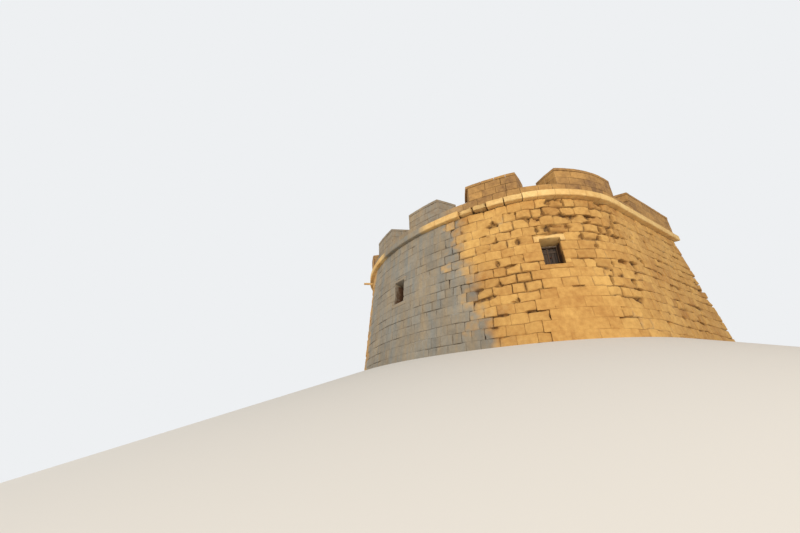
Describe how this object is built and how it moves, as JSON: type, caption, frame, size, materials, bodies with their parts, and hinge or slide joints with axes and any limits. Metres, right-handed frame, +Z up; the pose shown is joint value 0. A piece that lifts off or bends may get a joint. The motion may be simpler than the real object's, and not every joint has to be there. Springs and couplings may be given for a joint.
{
  "type": "martello tower",
  "caption": "Squat coastal gun tower with a hoof-shaped plan, battered ashlar walls, a cordon, a parapet with splayed gun embrasures, shuttered windows and a vaulted gun deck.",
  "frame": {"origin": "on the ground under the gate wall, on the plan's axis, at the centre of the cordon's front arc", "axes": "+Z up, -Y towards the nose of the hoof, +X towards the right side seen from the sea"},
  "size_m": [17.0012, 13.0045, 7.31],
  "materials": {
    "ashlar": "weathered, matt",
    "parapet_stone": "weathered, matt",
    "dressed_stone": "dressed, matt",
    "paving_stone": "worn, matt",
    "rubble": "rough, matt",
    "timber": "weathered boards",
    "iron": "rusted"
  },
  "bodies": {
    "root": {"wall_nose": "ashlar", "wall_bow_left": "ashlar", "wall_bow_right": "ashlar", "wall_shoulder_left": "ashlar", "wall_shoulder_right": "ashlar", "wall_flank_left": "ashlar", "wall_flank_right": "ashlar", "wall_heel_left": "ashlar", "wall_heel_right": "ashlar", "gate_pier_left": "ashlar", "gate_pier_right": "ashlar", "gate_sill_wall": "ashlar", "gate_head_wall": "ashlar", "deck_vault": "ashlar", "parapet_front": "parapet_stone", "parapet_shoulder_left": "parapet_stone", "parapet_shoulder_right": "parapet_stone", "parapet_flank_left": "parapet_stone", "parapet_flank_right": "parapet_stone", "parapet_rear": "parapet_stone", "merlon_nose_left": "parapet_stone", "merlon_nose_right": "parapet_stone", "merlon_bow_left": "parapet_stone", "merlon_bow_right": "parapet_stone", "merlon_shoulder_left": "parapet_stone", "merlon_shoulder_right": "parapet_stone", "merlon_flank_left": "parapet_stone", "merlon_flank_right": "parapet_stone", "rear_merlons": "parapet_stone", "cordon_front": "dressed_stone", "cordon_shoulder_left": "dressed_stone", "cordon_shoulder_right": "dressed_stone", "cordon_flank_left": "dressed_stone", "cordon_flank_right": "dressed_stone", "cordon_rear": "dressed_stone", "window_stones": "dressed_stone", "gate_surround": "dressed_stone", "waterspout": "dressed_stone", "chamber_floor": "paving_stone", "deck_paving": "paving_stone", "rubble_core": "rubble", "window_frames": "timber", "window_shutters": "timber", "gate_door": "timber", "iron_rod": "iron"}
  },
  "joints": []
}
